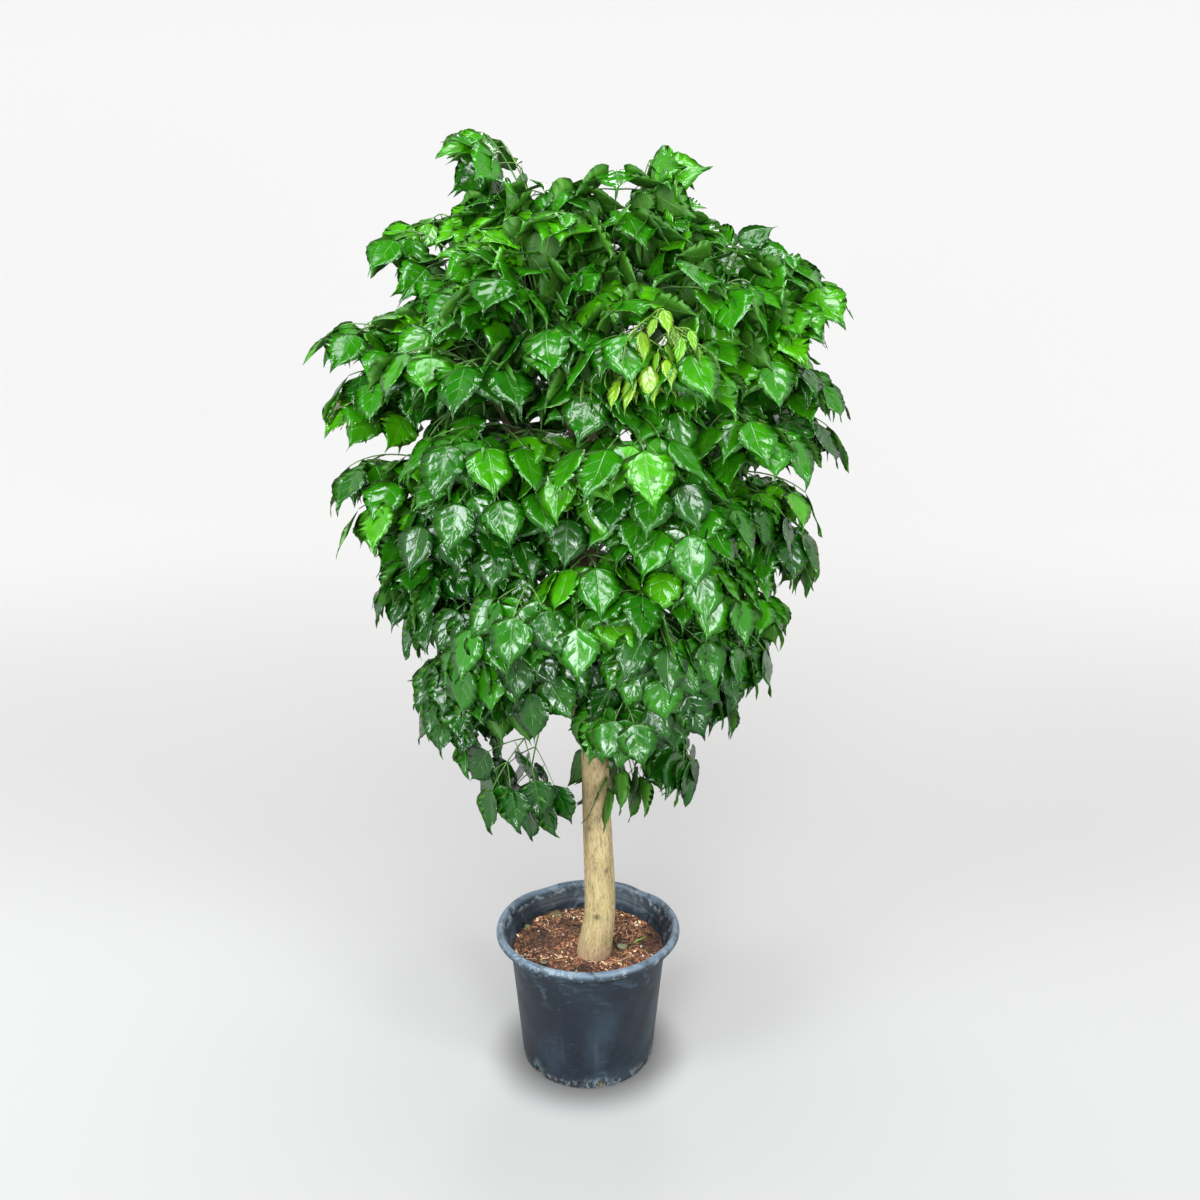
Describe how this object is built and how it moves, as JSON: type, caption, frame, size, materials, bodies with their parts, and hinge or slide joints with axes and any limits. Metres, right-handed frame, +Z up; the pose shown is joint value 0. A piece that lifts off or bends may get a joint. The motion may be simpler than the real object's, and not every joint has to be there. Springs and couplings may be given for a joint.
{
  "type": "potted china doll plant",
  "caption": "Small tree on a single bare trunk with a round crown of glossy green compound leaves, standing in a round black nursery pot of potting mix.",
  "frame": {"origin": "middle of the pot's flat underside, on the floor", "axes": "+Z up along the height of the plant; -Y towards the side that the main view shows"},
  "size_m": [0.8627, 0.767, 1.5973],
  "materials": {
    "pot_plastic": "blue-black recycled plastic, satin, dusty and scuffed at the rim and the foot",
    "potting_mix": "loose red-brown coir and bark chips with pale fibres and a few white grains",
    "bark": "pale tan bark with fine upright cracks, greener higher up",
    "leaf": "glossy deep green leaf, lime green where young, with sunken veins"
  },
  "bodies": {
    "root": {"pot": "pot_plastic", "potting_mix": "potting_mix", "trunk_and_limbs": "bark", "leafy_stem_01": "leaf", "leafy_stem_02": "leaf", "leafy_stem_03": "leaf", "leafy_stem_04": "leaf", "leafy_stem_05": "leaf", "leafy_stem_06": "leaf", "leafy_stem_07": "leaf", "leafy_stem_08": "leaf", "leafy_stem_09": "leaf", "leafy_stem_10": "leaf", "leafy_stem_11": "leaf", "leafy_stem_12": "leaf", "leafy_stem_13": "leaf", "leafy_stem_14": "leaf", "leafy_stem_15": "leaf", "leafy_stem_16": "leaf", "leafy_stem_17": "leaf", "leafy_stem_18": "leaf", "leafy_stem_19": "leaf", "leafy_stem_20": "leaf", "leafy_stem_21": "leaf", "leafy_stem_22": "leaf", "leafy_stem_23": "leaf", "leafy_stem_24": "leaf", "leafy_stem_25": "leaf", "leafy_stem_26": "leaf", "leafy_stem_27": "leaf", "leafy_stem_28": "leaf", "leafy_stem_29": "leaf", "leafy_stem_30": "leaf", "leafy_stem_31": "leaf", "leafy_stem_32": "leaf", "leafy_stem_33": "leaf", "leafy_stem_34": "leaf", "leafy_stem_35": "leaf", "leafy_stem_36": "leaf", "leafy_stem_37": "leaf", "leafy_stem_38": "leaf", "leafy_stem_39": "leaf", "leafy_stem_40": "leaf", "leafy_stem_41": "leaf", "leafy_stem_42": "leaf", "leafy_stem_43": "leaf", "leafy_stem_44": "leaf", "leafy_stem_45": "leaf", "leafy_stem_46": "leaf", "leafy_stem_47": "leaf", "leafy_stem_48": "leaf", "leafy_stem_49": "leaf"}
  },
  "joints": []
}
